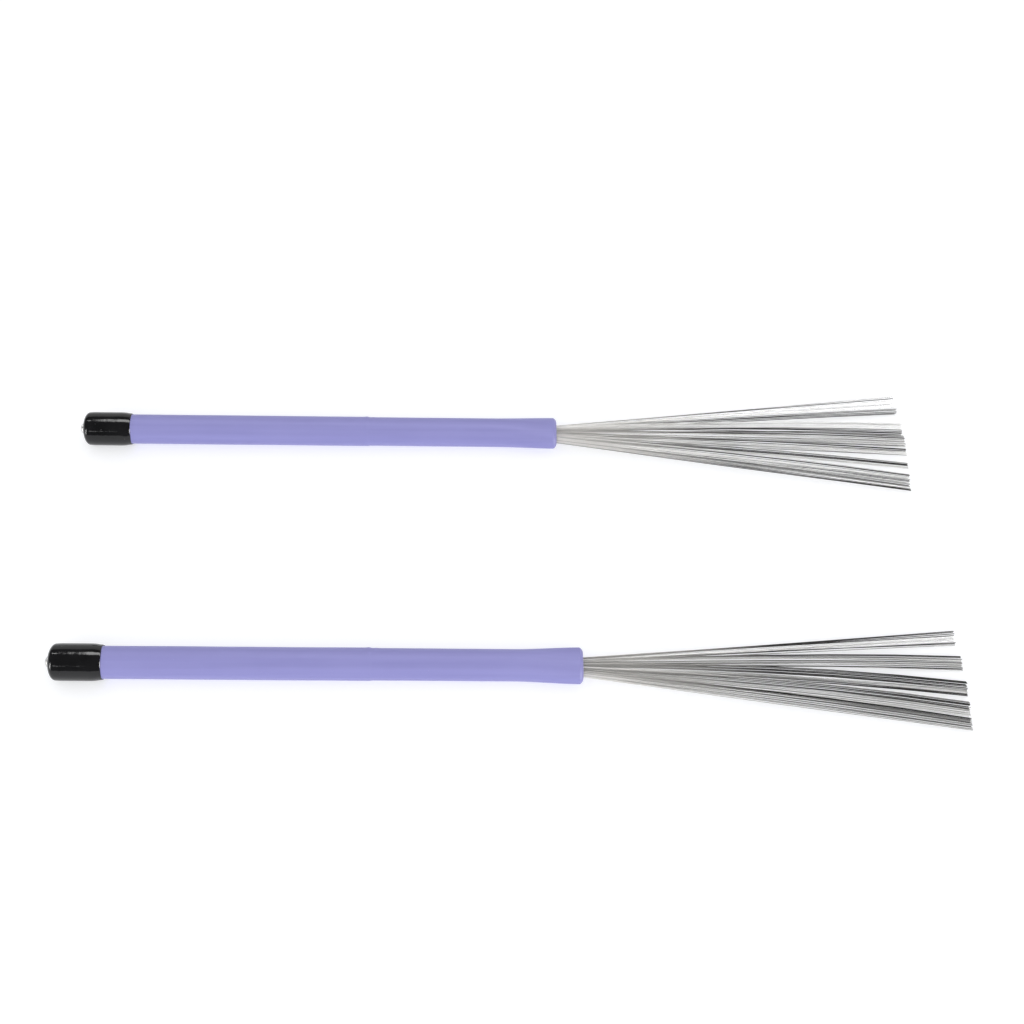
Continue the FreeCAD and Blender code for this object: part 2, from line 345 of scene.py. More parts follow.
# %% Node groups for grain, drawn lines and dust
def grain_group():
    """Fine bump and broad mottle."""
    group, recipe, given, made = new_group(
        "grain",
        [("Fineness", "NodeSocketFloat", 2000.0), ("Breadth", "NodeSocketFloat", 60.0),
         ("Depth", "NodeSocketFloat", 0.00002)],
        [("Mottle", "NodeSocketFloat"), ("Grain", "NodeSocketFloat"), ("Normal", "NodeSocketVector")],
    )
    place = recipe.add("ShaderNodeTexCoord").outputs["Object"]
    fine = recipe.add("ShaderNodeTexNoise", Vector=place, Scale=given.outputs["Fineness"], Detail=4.0)
    broad = recipe.add("ShaderNodeTexNoise", Vector=place, Scale=given.outputs["Breadth"], Detail=3.0)
    bump = recipe.add("ShaderNodeBump", Height=fine.outputs["Fac"], Distance=given.outputs["Depth"])
    recipe.feed(made.inputs["Mottle"], recipe.scale(broad.outputs["Fac"], 0.3, 0.7))
    recipe.feed(made.inputs["Grain"], recipe.scale(fine.outputs["Fac"], 0.3, 0.7))
    recipe.feed(made.inputs["Normal"], bump.outputs["Normal"])
    return group


def drawn_lines_group():
    """Long faint lines along X, left by a drawing die or a polishing belt."""
    group, recipe, given, made = new_group(
        "drawn lines",
        [("Fineness", "NodeSocketFloat", 3000.0), ("Depth", "NodeSocketFloat", 0.00001)],
        [("Lines", "NodeSocketFloat"), ("Normal", "NodeSocketVector")],
    )
    place = recipe.add("ShaderNodeTexCoord").outputs["Object"]
    stretched = recipe.add("ShaderNodeMapping", Vector=place, Scale=(0.02, 1.0, 1.0))
    lines = recipe.add("ShaderNodeTexNoise", Vector=stretched.outputs["Vector"],
                       Scale=given.outputs["Fineness"], Detail=3.0)
    bump = recipe.add("ShaderNodeBump", Height=lines.outputs["Fac"], Distance=given.outputs["Depth"])
    recipe.feed(made.inputs["Lines"], recipe.scale(lines.outputs["Fac"], 0.3, 0.7))
    recipe.feed(made.inputs["Normal"], bump.outputs["Normal"])
    return group


def dust_group():
    """Tiny specks, as a mask."""
    group, recipe, given, made = new_group(
        "dust",
        [("Specks per metre", "NodeSocketFloat", 500.0), ("Size", "NodeSocketFloat", 0.06)],
        [("Mask", "NodeSocketFloat")],
    )
    place = recipe.add("ShaderNodeTexCoord").outputs["Object"]
    cells = recipe.add("ShaderNodeTexVoronoi", Vector=place, Scale=given.outputs["Specks per metre"])
    near = recipe.add("ShaderNodeMath", {"operation": "LESS_THAN"})
    recipe.feed(near.inputs[0], cells.outputs["Distance"])
    recipe.feed(near.inputs[1], given.outputs["Size"])
    recipe.feed(made.inputs["Mask"], near.outputs[0])
    return group


GRAIN = grain_group()
DRAWN_LINES = drawn_lines_group()
DUST = dust_group()
print("groups", [group.name for group in bpy.data.node_groups])

# %% [markdown]
# ## Finishes
#
# **Grip**: soft lavender rubber. It has a low, wide sheen, a faint mottle, and a fine
# skin that breaks the highlight up a little. Rubbing dulls it unevenly, so the roughness
# wanders along the handle.

# %% Lavender rubber
def lavender_rubber():
    """Matte lavender rubber with a fine skin."""
    material, recipe, shader = new_material("lavender rubber")
    skin = recipe.effect(GRAIN, Fineness=2600.0, Breadth=45.0, Depth=0.00003)
    specks = recipe.effect(DUST, Specks_per_metre=420.0, Size=0.05)
    streaks = recipe.effect(DRAWN_LINES, Fineness=420.0, Depth=0.00001)
    colour = recipe.mix(skin.outputs["Mottle"], (0.262, 0.255, 0.556, 1), (0.276, 0.269, 0.576, 1))
    streaked = recipe.scale(streaks.outputs["Lines"], 0, 1, 0, 0.8)
    colour = recipe.mix(streaked, colour, (0.303, 0.297, 0.620, 1))
    faint = recipe.scale(specks.outputs["Mask"], 0, 1, 0, 0.16)
    recipe.feed(shader.inputs["Base Color"], recipe.mix(faint, colour, (0.62, 0.60, 0.86, 1)))
    recipe.feed(shader.inputs["Roughness"], recipe.scale(skin.outputs["Mottle"], 0, 1, 0.46, 0.56))
    recipe.feed(shader.inputs["Normal"], skin.outputs["Normal"])
    shader.inputs["Specular IOR Level"].default_value = 0.22
    shader.inputs["Sheen Weight"].default_value = 0.2
    shader.inputs["Sheen Roughness"].default_value = 0.4
    return material


FINISHES["grip_rubber"] = lavender_rubber()
print("finish", FINISHES["grip_rubber"].name)

# %% [markdown]
# **Cap**: the cap is dipped in liquid vinyl, so it is glossy, slightly wavy under the
# gloss, and picks up dust. Its colour is nearly black and its roughness low, and a slow
# bump makes the long reflections waver.

# %% Black dipped vinyl
def black_vinyl():
    """Glossy black vinyl with a wavering surface."""
    material, recipe, shader = new_material("black vinyl")
    waver = recipe.effect(GRAIN, Fineness=420.0, Breadth=150.0, Depth=0.00005)
    specks = recipe.effect(DUST, Specks_per_metre=300.0, Size=0.04)
    base = recipe.mix(waver.outputs["Mottle"], (0.006, 0.006, 0.0065, 1), (0.010, 0.010, 0.011, 1))
    faint = recipe.scale(specks.outputs["Mask"], 0, 1, 0, 0.22)
    recipe.feed(shader.inputs["Base Color"], recipe.mix(faint, base, (0.5, 0.5, 0.52, 1)))
    recipe.feed(shader.inputs["Roughness"], recipe.scale(waver.outputs["Mottle"], 0, 1, 0.05, 0.11))
    recipe.feed(shader.inputs["Normal"], waver.outputs["Normal"])
    shader.inputs["Specular IOR Level"].default_value = 0.38
    return material


FINISHES["cap_vinyl"] = black_vinyl()
print("finish", FINISHES["cap_vinyl"].name)

# %% [markdown]
# **Metals**: the tube is drawn aluminium, the rod ground steel, the button satin nickel
# and the ferrule brass. They differ only in colour, roughness and how strong the drawn
# lines are, so one recipe makes them all.

# %% Metals
STAIN_DARKENS = 0.8


def drawn_metal(name, dark, light, smooth, rough, line_depth):
    """A metal with long faint lines along the brush."""
    material, recipe, shader = new_material(name)
    lines = recipe.effect(DRAWN_LINES, Fineness=3200.0, Depth=line_depth)
    stain = recipe.effect(GRAIN, Fineness=900.0, Breadth=180.0, Depth=0.000004)
    shade = recipe.mix(lines.outputs["Lines"], (*dark, 1), (*light, 1))
    worn = recipe.scale(stain.outputs["Mottle"], 0, 1, 0, 0.25)
    stained = (*(STAIN_DARKENS * part for part in dark), 1)
    recipe.feed(shader.inputs["Base Color"], recipe.mix(worn, shade, stained))
    recipe.feed(shader.inputs["Roughness"], recipe.scale(stain.outputs["Mottle"], 0, 1, smooth, rough))
    recipe.feed(shader.inputs["Normal"], lines.outputs["Normal"])
    shader.inputs["Metallic"].default_value = 1.0
    return material


# name, dark and light colour, lowest and highest roughness, depth of the lines
METALS = {
    "tube_aluminium": ("drawn aluminium", (0.66, 0.67, 0.69), (0.78, 0.79, 0.80), 0.28, 0.40, 0.000008),
    "rod_steel": ("ground steel", (0.46, 0.46, 0.47), (0.60, 0.60, 0.61), 0.20, 0.32, 0.000006),
    "button_nickel": ("satin nickel", (0.58, 0.57, 0.56), (0.68, 0.67, 0.66), 0.36, 0.46, 0.000001),
    "ferrule_brass": ("brass", (0.60, 0.42, 0.16), (0.74, 0.55, 0.25), 0.26, 0.38, 0.000006),
}
for slot, settings in METALS.items():
    FINISHES[slot] = drawn_metal(*settings)
print("finishes", sorted(METALS))

# %% [markdown]
# ** Wires**: each wire is a hard drawn steel wire a third of a millimetre thick. The
# wires are not all alike: some are bright and some are dull. Near the handle their colour
# is painted light, pale and hardly shining, which lifts the shade that the crowded wires
# cast on each other. Towards their outer ends it gives way to darker steel, a painted
# shade, and the dullest wires are nearly black there. The material reads both.

# %% Wire steel
# Painted light near the handle and painted shade towards the tips: the wire colour is pale at the root and
# darkens to nearly black on the dullest wires at the tip.
PAINTED_LIGHT_ROOT_DULLEST = (0.58, 0.566, 0.542, 1)
PAINTED_LIGHT_ROOT_BRIGHTEST = (1.0, 0.98, 0.945, 1)
PAINTED_LIGHT_ROOT_SPREAD = (-0.1, 0.5)
PAINTED_SHADE_TIP_DULLEST = (0.015, 0.015, 0.015, 1)
PAINTED_SHADE_TIP_BRIGHTEST = (0.84, 0.837, 0.828, 1)
# Where along a wire the painted light gives way to the painted shade.
PAINTED_FADE_STARTS, PAINTED_FADE_ENDS = 0.10, 0.58
DRAWN_STREAK = (0.25, 0.24, 0.23, 1)
WIRE_ROUGHNESS = (0.42, 0.28)
# Where along a wire the matt, painted-light colour turns metallic.
MATT_TO_METALLIC = (0.15, 0.6)
WIRE_METALLIC = (0.06, 0.95)


def wire_steel():
    """Fine steel wire, with painted light near the handle and painted shade towards the tip, that differs
    from wire to wire.
    """
    material, recipe, shader = new_material("wire steel")
    along = recipe.add("ShaderNodeAttribute", {"attribute_name": "along"}).outputs["Fac"]
    strand = recipe.add("ShaderNodeAttribute", {"attribute_name": "strand"}).outputs["Fac"]
    lines = recipe.effect(DRAWN_LINES, Fineness=5000.0, Depth=0.000004)
    # Painted light: a pale, hardly shining colour near the handle.
    painted_light_root = recipe.mix(recipe.scale(strand, *PAINTED_LIGHT_ROOT_SPREAD), PAINTED_LIGHT_ROOT_DULLEST, PAINTED_LIGHT_ROOT_BRIGHTEST)
    # Painted shade: darker steel towards the tip.
    painted_shade_tip = recipe.mix(strand, PAINTED_SHADE_TIP_DULLEST, PAINTED_SHADE_TIP_BRIGHTEST)
    shade = recipe.mix(recipe.scale(along, PAINTED_FADE_STARTS, PAINTED_FADE_ENDS), painted_light_root, painted_shade_tip)
    streaked = recipe.scale(lines.outputs["Lines"], 0, 1, 0, 0.2)
    recipe.feed(shader.inputs["Base Color"], recipe.mix(streaked, shade, DRAWN_STREAK))
    recipe.feed(shader.inputs["Roughness"], recipe.scale(strand, 0, 1, *WIRE_ROUGHNESS))
    recipe.feed(shader.inputs["Metallic"], recipe.scale(along, *MATT_TO_METALLIC, *WIRE_METALLIC))
    recipe.feed(shader.inputs["Normal"], lines.outputs["Normal"])
    return material


FINISHES["wire_steel"] = wire_steel()
print("finish", FINISHES["wire_steel"].name)

# %% [markdown]
# **Plastic and rubber inside**: the bush and the guide are natural nylon, slightly waxy
# and milky. The seal and the bumper are plain black rubber.

# %% Nylon and black rubber
def natural_nylon():
    """Milky white nylon."""
    material, recipe, shader = new_material("natural nylon")
    skin = recipe.effect(GRAIN, Fineness=1500.0, Breadth=200.0, Depth=0.00001)
    colour = recipe.mix(skin.outputs["Mottle"], (0.72, 0.70, 0.62, 1), (0.82, 0.80, 0.74, 1))
    recipe.feed(shader.inputs["Base Color"], colour)
    recipe.feed(shader.inputs["Roughness"], recipe.scale(skin.outputs["Grain"], 0, 1, 0.38, 0.50))
    recipe.feed(shader.inputs["Normal"], skin.outputs["Normal"])
    shader.inputs["Subsurface Weight"].default_value = 0.1
    shader.inputs["Subsurface Radius"].default_value = (0.002, 0.0015, 0.001)
    return material


def black_rubber():
    """Dull black rubber."""
    material, recipe, shader = new_material("black rubber")
    skin = recipe.effect(GRAIN, Fineness=1800.0, Breadth=150.0, Depth=0.00003)
    colour = recipe.mix(skin.outputs["Mottle"], (0.018, 0.018, 0.018, 1), (0.035, 0.034, 0.033, 1))
    recipe.feed(shader.inputs["Base Color"], colour)
    recipe.feed(shader.inputs["Roughness"], recipe.scale(skin.outputs["Grain"], 0, 1, 0.55, 0.75))
    recipe.feed(shader.inputs["Normal"], skin.outputs["Normal"])
    return material


FINISHES["bush_nylon"] = natural_nylon()
FINISHES["black_rubber"] = black_rubber()
print("finishes", sorted(FINISHES))

# %% [markdown]
# ## Helpers for shapes
#
# Everything here is long and thin, so two ways of working cover it. Round pieces are
# **turned**: an outline is spun about the brush's axis, as on a lathe. Pieces whose
# section changes, such as the grip with its flattened mouth, are **drawn out**: a circle
# is extruded ring by ring, and each new ring gets its own width and height. A squareness
# of 2 keeps a ring oval, and a larger one gives it flatter sides and fuller corners.

# %% Turn and draw out
SAME_POINT = 1e-7
NO_AREA = 1e-14


def arc(centre_x, centre_radius, size, start, end, steps=8):
    """Points (x, radius) on an arc, with its angles in degrees from the X axis."""
    points = []
    for step in range(steps + 1):
        angle = math.radians(start + (end - start) * step / steps)
        points.append((centre_x + size * math.cos(angle), centre_radius + size * math.sin(angle)))
    return points


def turned(outline, steps=96):
    """A bmesh spun about X from a closed outline of (x, radius) points."""
    bm = bmesh.new()
    corners = [bm.verts.new((x, 0, radius)) for x, radius in outline]
    edges = [bm.edges.new(pair) for pair in zip(corners, corners[1:] + corners[:1])]
    bmesh.ops.spin(
        bm, geom=corners + edges, cent=(0, 0, 0), axis=(1, 0, 0), dvec=(0, 0, 0),
        angle=2 * math.pi, steps=steps, use_merge=True, use_duplicate=False)
    bmesh.ops.remove_doubles(bm, verts=bm.verts, dist=SAME_POINT)
    on_axis = [face for face in bm.faces if face.calc_area() < NO_AREA]
    bmesh.ops.delete(bm, geom=on_axis, context="FACES")
    bmesh.ops.recalc_face_normals(bm, faces=bm.faces)
    return bm


def drawn_out(sections, steps=64):
    """A closed shell of rings along X, each (x, half width, half height, squareness)."""
    bm = bmesh.new()
    turn = bm.verts.layers.float.new("turn")
    upright = Matrix.Rotation(math.pi / 2, 4, "Y")
    ring = bmesh.ops.create_circle(bm, segments=steps, radius=1.0, matrix=upright)["verts"]
    for vertex in ring:
        vertex[turn] = math.atan2(vertex.co.z, vertex.co.y)
    first_edges = edges = list(bm.edges)
    for number, (x, width, height, squareness) in enumerate(sections):
        if number:
            made = bmesh.ops.extrude_edge_only(bm, edges=edges)["geom"]
            ring = [item for item in made if isinstance(item, bmesh.types.BMVert)]
            edges = [item for item in made if isinstance(item, bmesh.types.BMEdge)]
        for vertex in ring:
            aside, above = math.cos(vertex[turn]), math.sin(vertex[turn])
            fuller = (abs(aside) ** squareness + abs(above) ** squareness) ** (-1 / squareness)
            vertex.co = (x, width * aside * fuller, height * above * fuller)
    bmesh.ops.bridge_loops(bm, edges=first_edges + edges)
    bm.verts.layers.float.remove(turn)
    bmesh.ops.recalc_face_normals(bm, faces=bm.faces)
    return bm


def finish_piece(bm, name, side, body, slot, nodes, sharp=38, softened=True):
    """Lays a piece on the table, gives it its finish and lets it ride on its body."""
    bmesh.ops.transform(bm, matrix=AXES[side], verts=bm.verts)
    for face in bm.faces:
        face.smooth = True
    for edge in bm.edges:
        edge.smooth = edge.calc_face_angle(0) < math.radians(sharp)
    mesh = bpy.data.meshes.new(name)
    bm.to_mesh(mesh)
    bm.free()
    piece = bpy.data.objects.new(name, mesh)
    bpy.context.scene.collection.objects.link(piece)
    mesh.materials.append(FINISHES[slot])
    if softened:
        weighted = piece.modifiers.new("even shading", "WEIGHTED_NORMAL")
        weighted.keep_sharp = True
    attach(piece, body)
    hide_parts(*nodes)
    print(f"{name}: {len(mesh.polygons)} faces")
    return piece


print("shaping helpers ready")

# %% [markdown]
# ## Grip
#
# The grip is a sleeve of soft rubber. Its rear part is a shade thicker and ends in a
# sharp little step, where the rubber has puckered into two low wrinkles on its upper
# side. Near the mouth the tube inside is pressed flat, so the grip grows wider and lower
# there, and its thick end is rounded over. A few hundredths of a millimetre of slow
# noise stop it from looking machined.
#
# We first measure the sleeve of the CAD model, then draw ours out along it: down the
# outside, round the lip and back inside along the tube. The rings stand close together
# around the step, because a wrinkle needs several rings to show.

# %% Build the grips
GRIP_STEP_AT = 0.1175
GRIP_STEP_LENGTH = 0.0018
STEP_RINGS_FROM = GRIP_STEP_AT - 0.003
STEP_RINGS_TO = GRIP_STEP_AT + 0.005
MOUTH_LENGTH = 0.026
MOUTH_SQUARENESS = 2.3
MOUTH_TRIM = 0.975
TUBE_WALL = 0.0006
LIP_LENGTH = 0.0014
LIP_RINGS = 10
LIP_FORWARD_POWER = 1.7
LIP_INWARD_POWER = 1.3
LIP_INSET_ASIDE = 0.0019
LIP_INSET_ABOVE = 0.0018
LIP_ROUND_INSIDE = 0.0003
LIP_THICKER = 0.0008
MOUTH_RINGS = 24


def widest(piece, low, high, side="front"):
    """Half width and half height of a CAD piece over a stretch of its brush."""
    points = [p for p in own_points(f"{side}_{piece}", side) if low <= p.x <= high]
    return max(abs(p.y) for p in points), max(abs(p.z) for p in points)


rear_radius = widest("grip", 0, GRIP_STEP_AT + 0.5 * MM)[1]
front_radius = widest("grip", GRIP_STEP_AT + 3 * MM, mouth - MOUTH_LENGTH + MM)[1]
tube_radius = widest("handle_tube", 0, GRIP_STEP_AT)[1]
grip_wall = front_radius - tube_radius
mouth_half_height = widest("grip", mouth - 1.2 * MM, mouth - 0.2 * MM)[1]
print(f"grip radius {rear_radius:.5f} to {front_radius:.5f} m")
print(f"mouth {mouth_half_width:.5f} by {mouth_half_height:.5f} m")


def ease(share):
    """A smooth climb from 0 to 1."""
    share = max(0.0, min(1.0, share))
    return share * share * (3 - 2 * share)


def grip_section(x, trim=1.0):
    """Half width, half height and squareness of the grip's outside at one place."""
    step = ease((x - GRIP_STEP_AT) / GRIP_STEP_LENGTH)
    radius = rear_radius + (front_radius - rear_radius) * step
    flat = ease((x - mouth + MOUTH_LENGTH) / MOUTH_LENGTH)
    width = radius + (mouth_half_width - front_radius) * flat
    height = radius + (mouth_half_height - front_radius) * flat
    trimmed = 1 + (trim - 1) * flat
    return width * trimmed, height * trimmed, 2 + (MOUTH_SQUARENESS - 2) * flat


def grip_stations(end):
    """Places for the outside rings, close together around the step."""
    stretches = ((grip_start, STEP_RINGS_FROM, 80), (STEP_RINGS_FROM, STEP_RINGS_TO, 32),
                 (STEP_RINGS_TO, end, 60))
    stations = []
    for first, last, count in stretches:
        stations += [first + (last - first) * number / count for number in range(count)]
    return stations + [end]


def grip_sections():
    """All rings of the grip: outside, rounded lip, and back along the tube."""
    lip_start = mouth - LIP_LENGTH
    sections = [(x, *grip_section(x, MOUTH_TRIM)) for x in grip_stations(lip_start)]
    width, height, full = grip_section(mouth, MOUTH_TRIM)
    for number in range(1, LIP_RINGS + 1):
        share = number / LIP_RINGS
        forward = 1 - (1 - share) ** LIP_FORWARD_POWER
        inward = share ** LIP_INWARD_POWER
        sections.append((lip_start + LIP_LENGTH * forward,
                         width - LIP_INSET_ASIDE * inward, height - LIP_INSET_ABOVE * inward, full))
    wall = grip_wall + TUBE_WALL + LIP_THICKER
    width, height, full = grip_section(mouth)
    bore_width, bore_height = width - wall, height - wall
    for x, out in arc(mouth - LIP_ROUND_INSIDE, LIP_ROUND_INSIDE, LIP_ROUND_INSIDE, 0, -90, 4):
        sections.append((x, bore_width + out, bore_height + out, full))
    sections.append((tube_end, bore_width, bore_height, full))
    sections.append((tube_end, width - grip_wall, height - grip_wall, full))
    for number in range(1, MOUTH_RINGS + 1):
        x = tube_end + (mouth - MOUTH_LENGTH - tube_end) * number / MOUTH_RINGS
        width, height, full = grip_section(x)
        sections.append((x, width - grip_wall, height - grip_wall, full))
    sections.append((grip_start, tube_radius, tube_radius, 2))
    return sections


GRIP_UNEVENNESS = 0.00005
UNEVEN_ALONG = 45
UNEVEN_ACROSS = 90
UNEVEN_PER_BRUSH = 7
OUTSIDE_FROM = 0.0009
WRINKLED_SIDE = Vector((0, 0.78, 0.63))
# how far after the step each wrinkle is, and its height
WRINKLES = ((0.0, 0.00012), (0.0026, 0.00007))
WRINKLE_LENGTH = 0.0007


def wrinkle_height(x):
    """How far the wrinkles raise the rubber at a distance from the butt."""
    return sum(height * math.exp(-((x - GRIP_STEP_AT - after) / WRINKLE_LENGTH) ** 2)
               for after, height in WRINKLES)


def make_grip(side):
    """The rubber sleeve of one brush."""
    bm = drawn_out(grip_sections(), steps=72)
    own = UNEVEN_PER_BRUSH * SIDES.index(side)
    for vertex in bm.verts:
        x, y, z = vertex.co
        if math.hypot(y, z) <= tube_radius + OUTSIDE_FROM and x <= tube_end:
            continue
        place = Vector((x * UNEVEN_ALONG, y * UNEVEN_ACROSS, z * UNEVEN_ACROSS + own))
        outward = Vector((0, y, z)).normalized()
        on_top = max(0.0, outward.dot(WRINKLED_SIDE)) ** 2
        vertex.co += outward * (GRIP_UNEVENNESS * noise.noise(place) + on_top * wrinkle_height(x))
    return finish_piece(bm, f"{side}_rubber_grip", side, f"{side}_handle", "grip_rubber",
                        [f"{side}_grip"])


for side in SIDES:
    make_grip(side)

# %% [markdown]
# ## Butt cap
#
# The cap is a cup of soft vinyl with a hole in its end. Dipping leaves its end slightly
# domed with a generous round, and its rim thin, rolled in and a little wavy. We turn the
# whole section, inside and out, and then push the rim about with a few slow waves.

# %% Build the caps
CAP_FACE = 0.00065
CAP_ROUND_ALONG = 0.0024
CAP_ROUND_ACROSS = 0.0040
CAP_END_WALL = 0.0022
CAP_HOLE_RADIUS = 0.00235
CAP_HOLE_ROUND = 0.0004
CAP_TAPER_LENGTH = 0.0038
CAP_TAPER = 0.00036
CAP_RIM_ROLL = 0.0010
CAP_OVERHANG = 0.0002
CAP_RIM_WALL = 0.0001
CAP_RIM_WAVE = 0.00018
CAP_RIM_WAVE_LENGTH = 0.005
CAP_DENT = 0.00002
CAP_DENTS_PER_METRE = 160
CAP_SHOULDER = 0.00012
CAP_SHOULDER_LENGTH = 0.0025
CAP_END_RINGS = 14
CAP_SIDE_RINGS = 24
CAP_RIM_RINGS = 10
CAP_POCKET_RINGS = 6


def cap_outline():
    """The cap's section: hole, end face, round, side, rolled rim and pocket."""
    pocket = rear_radius
    shoulder = cap_radius - CAP_SHOULDER - CAP_ROUND_ACROSS
    outline = [(CAP_END_WALL, CAP_HOLE_RADIUS)]
    outline += arc(CAP_FACE + CAP_HOLE_ROUND, CAP_HOLE_RADIUS + CAP_HOLE_ROUND, CAP_HOLE_ROUND,
                   -90, -180, 5)
    for number in range(CAP_END_RINGS + 1):
        turn = math.pi / 2 * number / CAP_END_RINGS
        outline.append((CAP_FACE + CAP_ROUND_ALONG * (1 - math.cos(turn)),
                        shoulder + CAP_ROUND_ACROSS * math.sin(turn)))
    side_start = CAP_FACE + CAP_ROUND_ALONG
    rim = cap_end + CAP_OVERHANG
    side_end = rim - CAP_RIM_ROLL
    for number in range(1, CAP_SIDE_RINGS + 1):
        x = side_start + (side_end - side_start) * number / CAP_SIDE_RINGS
        drawn_in = CAP_TAPER * max(0.0, (x - side_end) / CAP_TAPER_LENGTH + 1) ** 2
        drawn_in += CAP_SHOULDER * max(0.0, 1 - (x - side_start) / CAP_SHOULDER_LENGTH) ** 2
        outline.append((x, cap_radius - drawn_in))
    rim_radius = cap_radius - CAP_TAPER
    lip = rim_radius - pocket - CAP_RIM_WALL
    for number in range(1, CAP_RIM_RINGS + 1):
        turn = math.pi / 2 * number / CAP_RIM_RINGS
        outline.append((side_end + CAP_RIM_ROLL * math.sin(turn),
                        rim_radius - lip * (1 - math.cos(turn))))
    pocket_start = rim - CAP_RIM_WALL
    for number in range(CAP_POCKET_RINGS + 1):
        x = pocket_start + (CAP_END_WALL - pocket_start) * number / CAP_POCKET_RINGS
        outline.append((x, pocket))
    return outline


CAP_SIDES_DIFFER = 3.1
# waves round the rim, height, phase, and whether it differs from cap to cap
RIM_WAVES = ((2, 1.0, 3.35, 0), (3, 0.3, 2.1, 1), (5, 0.2, 0.0, 0))


def rim_wave(turn, own):
    """How far the rim swings back and forth, by the angle around it."""
    return sum(height * math.sin(count * turn + phase + own * differs)
               for count, height, phase, differs in RIM_WAVES)


def make_cap(side):
    """The vinyl cap of one brush."""
    bm = turned(cap_outline(), steps=120)
    own = CAP_SIDES_DIFFER * SIDES.index(side)
    for vertex in bm.verts:
        turn = math.atan2(vertex.co.z, vertex.co.y)
        near_rim = ease((vertex.co.x - cap_end) / CAP_RIM_WAVE_LENGTH + 1)
        if math.hypot(vertex.co.y, vertex.co.z) > rear_radius + 0.05 * MM:
            outward = Vector((0, math.cos(turn), math.sin(turn)))
            place = vertex.co * CAP_DENTS_PER_METRE + Vector((0, 0, own))
            vertex.co += outward * CAP_DENT * noise.noise(place)
        vertex.co.x += CAP_RIM_WAVE * near_rim * rim_wave(turn, own)
    return finish_piece(bm, f"{side}_vinyl_cap", side, f"{side}_handle", "cap_vinyl",
                        [f"{side}_butt_cap"])


for side in SIDES:
    make_cap(side)

# %% [markdown]
# ## Button and rod
#
# The rod slides inside the tube, and the button on its end is what the player pulls out
# to close the fan and pushes in to open it. The button is nickel-plated steel with a low
# dome and a rounded edge. The rod is plain ground steel with a chamfer at each end. Both
# are round, so both are turned.

# %% Build the buttons and the rods
BUTTON_DOME_DEPTH = 0.00125
BUTTON_EDGE_ROUND = 0.00025
BUTTON_SHOULDER_ALONG = 0.35
BUTTON_SHOULDER_IN = 0.3
ROD_CHAMFER = 0.0003
button_start, button_end, button_radius = span("end_button")
rod_start, rod_end, rod_radius = span("pull_rod")


def button_outline():
    """The button's section, from the middle of its dome to its flat back."""
    dome = (button_radius ** 2 + BUTTON_DOME_DEPTH ** 2) / (2 * BUTTON_DOME_DEPTH)
    spread = math.degrees(math.asin((button_radius - BUTTON_EDGE_ROUND) / dome))
    outline = arc(button_start + dome, 0.0, dome, 180, 180 - spread, 16)
    edge_x = outline[-1][0]
    outline.append((edge_x + BUTTON_EDGE_ROUND * BUTTON_SHOULDER_ALONG,
                    button_radius - BUTTON_EDGE_ROUND * BUTTON_SHOULDER_IN))
    outline.append((edge_x + BUTTON_EDGE_ROUND, button_radius))
    outline.append((button_end - BUTTON_EDGE_ROUND, button_radius))
    outline.append((button_end, button_radius - BUTTON_EDGE_ROUND))
    return outline + [(button_end, rod_radius), (rod_start, rod_radius), (rod_start, 0.0)]


def rod_outline():
    """The rod's section: a plain bar with a chamfer at each end."""
    chamfered = rod_radius - ROD_CHAMFER
    return [(rod_start, 0.0), (rod_start, chamfered), (rod_start + ROD_CHAMFER, rod_radius),
            (rod_end - ROD_CHAMFER, rod_radius), (rod_end, chamfered), (rod_end, 0.0)]


for side in SIDES:
    body = f"{side}_rod"
    button = turned(button_outline(), steps=64)
    finish_piece(button, f"{side}_domed_button", side, body, "button_nickel", [f"{side}_end_button"])
    rod = turned(rod_outline(), steps=40)
    finish_piece(rod, f"{side}_steel_rod", side, body, "rod_steel", [f"{side}_pull_rod"])

# %% [markdown]
# ## Wires
#
# A brush has 75 wires, in tufts. Each tuft swings shut as the rod is pulled back, so the
# wires of one tuft are one piece that rides on its tuft's body. The CAD model already
# has every wire as a straight rod with a short bend: we find the loose parts of that
# mesh and read where each wire starts and ends. Then each wire is drawn out again as
# a thin six-sided rod that leaves the ferrule straight and spreads in one smooth curve,
# with a slight bow of its own, because spring wire is never quite straight.

# %% Read the wires from the CAD model
JOIN_DISTANCE = 1e-6
RING_DEPTH = 1e-5


def merged_copy(node, side):
    """A bmesh of a CAD node with its points joined, in its brush's own axes."""
    bm = bmesh.new()
    bm.from_mesh(frame["nodes"][node].data)
    bmesh.ops.remove_doubles(bm, verts=bm.verts, dist=JOIN_DISTANCE)
    bmesh.ops.transform(bm, matrix=AXES[side].inverted(), verts=bm.verts)
    return bm


def loose_parts(bm):
    """The points of each separate part of a mesh."""
    waiting = set(bm.verts)
    parts = []
    for seed in list(bm.verts):
        if seed not in waiting:
            continue
        waiting.discard(seed)
        part, to_search = [], [seed]
        while to_search:
            vertex = to_search.pop()
            part.append(vertex.co.copy())
            for link in vertex.link_edges:
                other = link.other_vert(vertex)
                if other in waiting:
                    waiting.discard(other)
                    to_search.append(other)
        parts.append(part)
    return parts


def centre_line(part):
    """The middles of a wire's rings, from root to tip. All rings have as many points."""
    points = sorted(part, key=lambda point: point.x)
    ring_size = sum(point.x < points[0].x + RING_DEPTH for point in points)
    rings = [points[first:first + ring_size] for first in range(0, len(points), ring_size)]
    return [sum(ring, Vector()) / len(ring) for ring in rings]


def tuft_lines(node, side):
    """The centre line of every wire in a tuft, from one side of the brush to the other."""
    bm = merged_copy(node, side)
    lines = [centre_line(part) for part in loose_parts(bm)]
    bm.free()
    return sorted(lines, key=lambda line: (round(line[-1].y, 5), line[-1].z))


